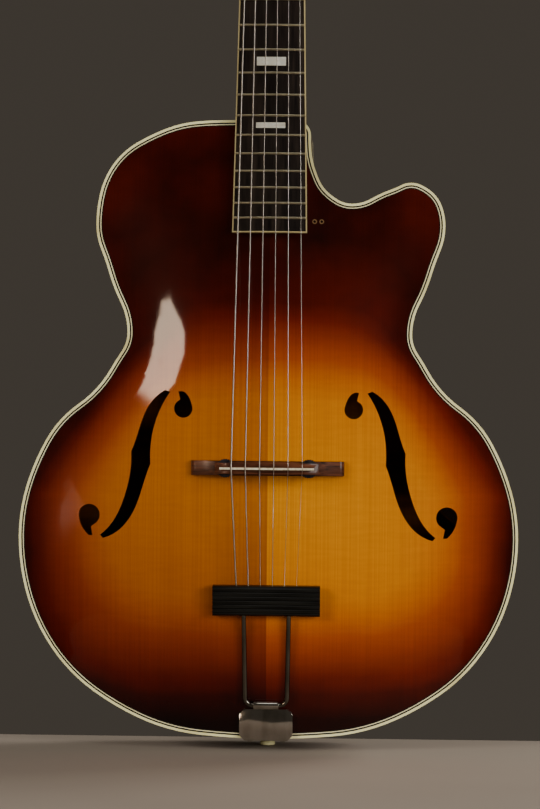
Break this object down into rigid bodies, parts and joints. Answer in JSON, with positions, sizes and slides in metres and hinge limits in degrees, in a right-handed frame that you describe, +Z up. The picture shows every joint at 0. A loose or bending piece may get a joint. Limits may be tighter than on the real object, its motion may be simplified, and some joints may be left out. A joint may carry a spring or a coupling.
{
  "type": "archtop guitar",
  "caption": "Hollow archtop guitar with cutaway body, f-holes, floating bridge on thumbwheels, hinged trapeze tailpiece, set neck and geared open tuners.",
  "frame": {"origin": "centre of the end pin's outer face, on the body's centre line", "axes": "+Z up the neck, -Y out of the carved top towards the player's view, +X to the treble side"},
  "size_m": [0.4128, 0.1441, 1.0535],
  "materials": {
    "spruce_top": "gloss lacquer over a shaded spruce top",
    "maple_back": "gloss lacquer over shaded maple",
    "maple_rim": "gloss lacquer over shaded maple",
    "cream_binding": "aged cream plastic, polished",
    "white_purfling": "aged cream plastic under lacquer",
    "black_purfling": "black plastic under lacquer",
    "inner_wood": "bare spruce",
    "neck_wood": "dark stained maple, gloss lacquer",
    "black_veneer": "black veneer, gloss lacquer",
    "black_plastic": "black plastic, polished",
    "ebony": "oiled ebony",
    "fret_wire": "worn nickel silver",
    "pearl": "pearl inlay",
    "bone": "polished bone",
    "rosewood": "oiled rosewood",
    "wheel_metal": "dark blued metal",
    "nickel": "polished nickel plate",
    "bar_black": "grooved black bar, polished",
    "steel": "bare steel",
    "gear_brass": "plated brass",
    "button_cream": "cream plastic",
    "plain_wire": "bright plain steel wire",
    "wound_wire": "nickel-wound wire"
  },
  "bodies": {
    "root": {"top_plate": "spruce_top", "back_plate": "maple_back", "top_binding": "cream_binding", "back_binding": "cream_binding", "top_purfling_white": "white_purfling", "top_purfling_black": "black_purfling", "bass_rim": "maple_rim", "treble_rim": "maple_rim", "kerfed_linings": "inner_wood", "neck_block": "inner_wood", "tail_block": "inner_wood", "tone_bars": "inner_wood", "fretboard": "ebony", "fretboard_binding": "cream_binding", "position_markers": "pearl", "frets": "fret_wire", "tailpiece_bracket": "nickel", "end_pin": "cream_binding", "heel_cap": "cream_binding", "neck": "neck_wood", "headstock_veneer": "black_veneer", "truss_rod": "steel", "truss_rod_cover": "black_plastic", "nut": "bone", "bridge_posts": "steel", "bridge_base": "rosewood", "tuner_plates": "nickel", "tuner_bushings": "nickel", "small_screws": "nickel", "bracket_screws": "nickel", "string_1": "plain_wire", "string_2": "plain_wire", "string_3": "wound_wire", "string_4": "wound_wire", "string_5": "wound_wire", "string_6": "wound_wire"},
    "saddle": {"bridge_saddle": "rosewood", "saddle_bone": "bone"},
    "bass_wheel": {"bass_thumbwheel": "wheel_metal"},
    "treble_wheel": {"treble_thumbwheel": "wheel_metal"},
    "tailpiece": {"tailpiece_rod": "nickel", "tailpiece_bar": "bar_black"},
    "key_1": {"tuner_1_worm": "nickel", "tuner_1_button": "button_cream"},
    "post_1": {"tuner_1_post": "gear_brass"},
    "key_2": {"tuner_2_worm": "nickel", "tuner_2_button": "button_cream"},
    "post_2": {"tuner_2_post": "gear_brass"},
    "key_3": {"tuner_3_worm": "nickel", "tuner_3_button": "button_cream"},
    "post_3": {"tuner_3_post": "gear_brass"},
    "key_4": {"tuner_4_worm": "nickel", "tuner_4_button": "button_cream"},
    "post_4": {"tuner_4_post": "gear_brass"},
    "key_5": {"tuner_5_worm": "nickel", "tuner_5_button": "button_cream"},
    "post_5": {"tuner_5_post": "gear_brass"},
    "key_6": {"tuner_6_worm": "nickel", "tuner_6_button": "button_cream"},
    "post_6": {"tuner_6_post": "gear_brass"}
  },
  "joints": [
    {"name": "saddle_height", "type": "slide", "parent": "root", "child": "saddle", "axis": [0, -1, 0], "range_m": [-0.002, 0.0035], "deforming": ["string_1", "string_2", "string_3", "string_4", "string_5", "string_6"]},
    {"name": "bass_wheel_turn", "type": "hinge", "parent": "saddle", "child": "bass_wheel", "pos_m": [-0.0342, -0.07101, 0.23326], "axis": [0, -1, 0], "range_deg": [-1058.57, 1830]},
    {"name": "treble_wheel_turn", "type": "hinge", "parent": "saddle", "child": "treble_wheel", "pos_m": [0.0342, -0.07101, 0.23326], "axis": [0, -1, 0], "range_deg": [-1058.57, 1830]},
    {"name": "tailpiece_hinge", "type": "hinge", "parent": "root", "child": "tailpiece", "pos_m": [0, -0.0497, 0.0377], "axis": [1, 0, 0], "range_deg": [-1, 3], "stiffness_Nm_per_rad": 8, "deforming": ["string_1", "string_2", "string_3", "string_4", "string_5", "string_6"]},
    {"name": "tuner_1_key", "type": "hinge", "parent": "root", "child": "key_1", "pos_m": [0.026, 0.00476, 0.93192], "axis": [1, 0, 0], "continuous": true},
    {"name": "tuner_1_turn", "type": "hinge", "parent": "root", "child": "post_1", "pos_m": [0.026, -0.01478, 0.93133], "axis": [0, 0.9511, -0.309], "continuous": true},
    {"name": "tuner_2_key", "type": "hinge", "parent": "root", "child": "key_2", "pos_m": [0.026, 0.01774, 0.97186], "axis": [1, 0, 0], "continuous": true},
    {"name": "tuner_2_turn", "type": "hinge", "parent": "root", "child": "post_2", "pos_m": [0.026, -0.0018, 0.97127], "axis": [0, 0.9511, -0.309], "continuous": true},
    {"name": "tuner_3_key", "type": "hinge", "parent": "root", "child": "key_3", "pos_m": [0.026, 0.03072, 1.01181], "axis": [1, 0, 0], "continuous": true},
    {"name": "tuner_3_turn", "type": "hinge", "parent": "root", "child": "post_3", "pos_m": [0.026, 0.01118, 1.01122], "axis": [0, 0.9511, -0.309], "continuous": true},
    {"name": "tuner_4_key", "type": "hinge", "parent": "root", "child": "key_4", "pos_m": [-0.026, 0.03072, 1.01181], "axis": [1, 0, 0], "continuous": true},
    {"name": "tuner_4_turn", "type": "hinge", "parent": "root", "child": "post_4", "pos_m": [-0.026, 0.01118, 1.01122], "axis": [0, 0.9511, -0.309], "continuous": true},
    {"name": "tuner_5_key", "type": "hinge", "parent": "root", "child": "key_5", "pos_m": [-0.026, 0.01774, 0.97186], "axis": [1, 0, 0], "continuous": true},
    {"name": "tuner_5_turn", "type": "hinge", "parent": "root", "child": "post_5", "pos_m": [-0.026, -0.0018, 0.97127], "axis": [0, 0.9511, -0.309], "continuous": true},
    {"name": "tuner_6_key", "type": "hinge", "parent": "root", "child": "key_6", "pos_m": [-0.026, 0.00476, 0.93192], "axis": [1, 0, 0], "continuous": true},
    {"name": "tuner_6_turn", "type": "hinge", "parent": "root", "child": "post_6", "pos_m": [-0.026, -0.01478, 0.93133], "axis": [0, 0.9511, -0.309], "continuous": true}
  ],
  "couplings": [
    {"joint": "bass_wheel_turn", "follows": "saddle_height", "rad_per_m": 8976},
    {"joint": "treble_wheel_turn", "follows": "saddle_height", "rad_per_m": 8976},
    {"joint": "tuner_1_turn", "follows": "tuner_1_key", "ratio": -0.071429},
    {"joint": "tuner_2_turn", "follows": "tuner_2_key", "ratio": -0.071429},
    {"joint": "tuner_3_turn", "follows": "tuner_3_key", "ratio": -0.071429},
    {"joint": "tuner_4_turn", "follows": "tuner_4_key", "ratio": -0.071429},
    {"joint": "tuner_5_turn", "follows": "tuner_5_key", "ratio": -0.071429},
    {"joint": "tuner_6_turn", "follows": "tuner_6_key", "ratio": -0.071429}
  ]
}
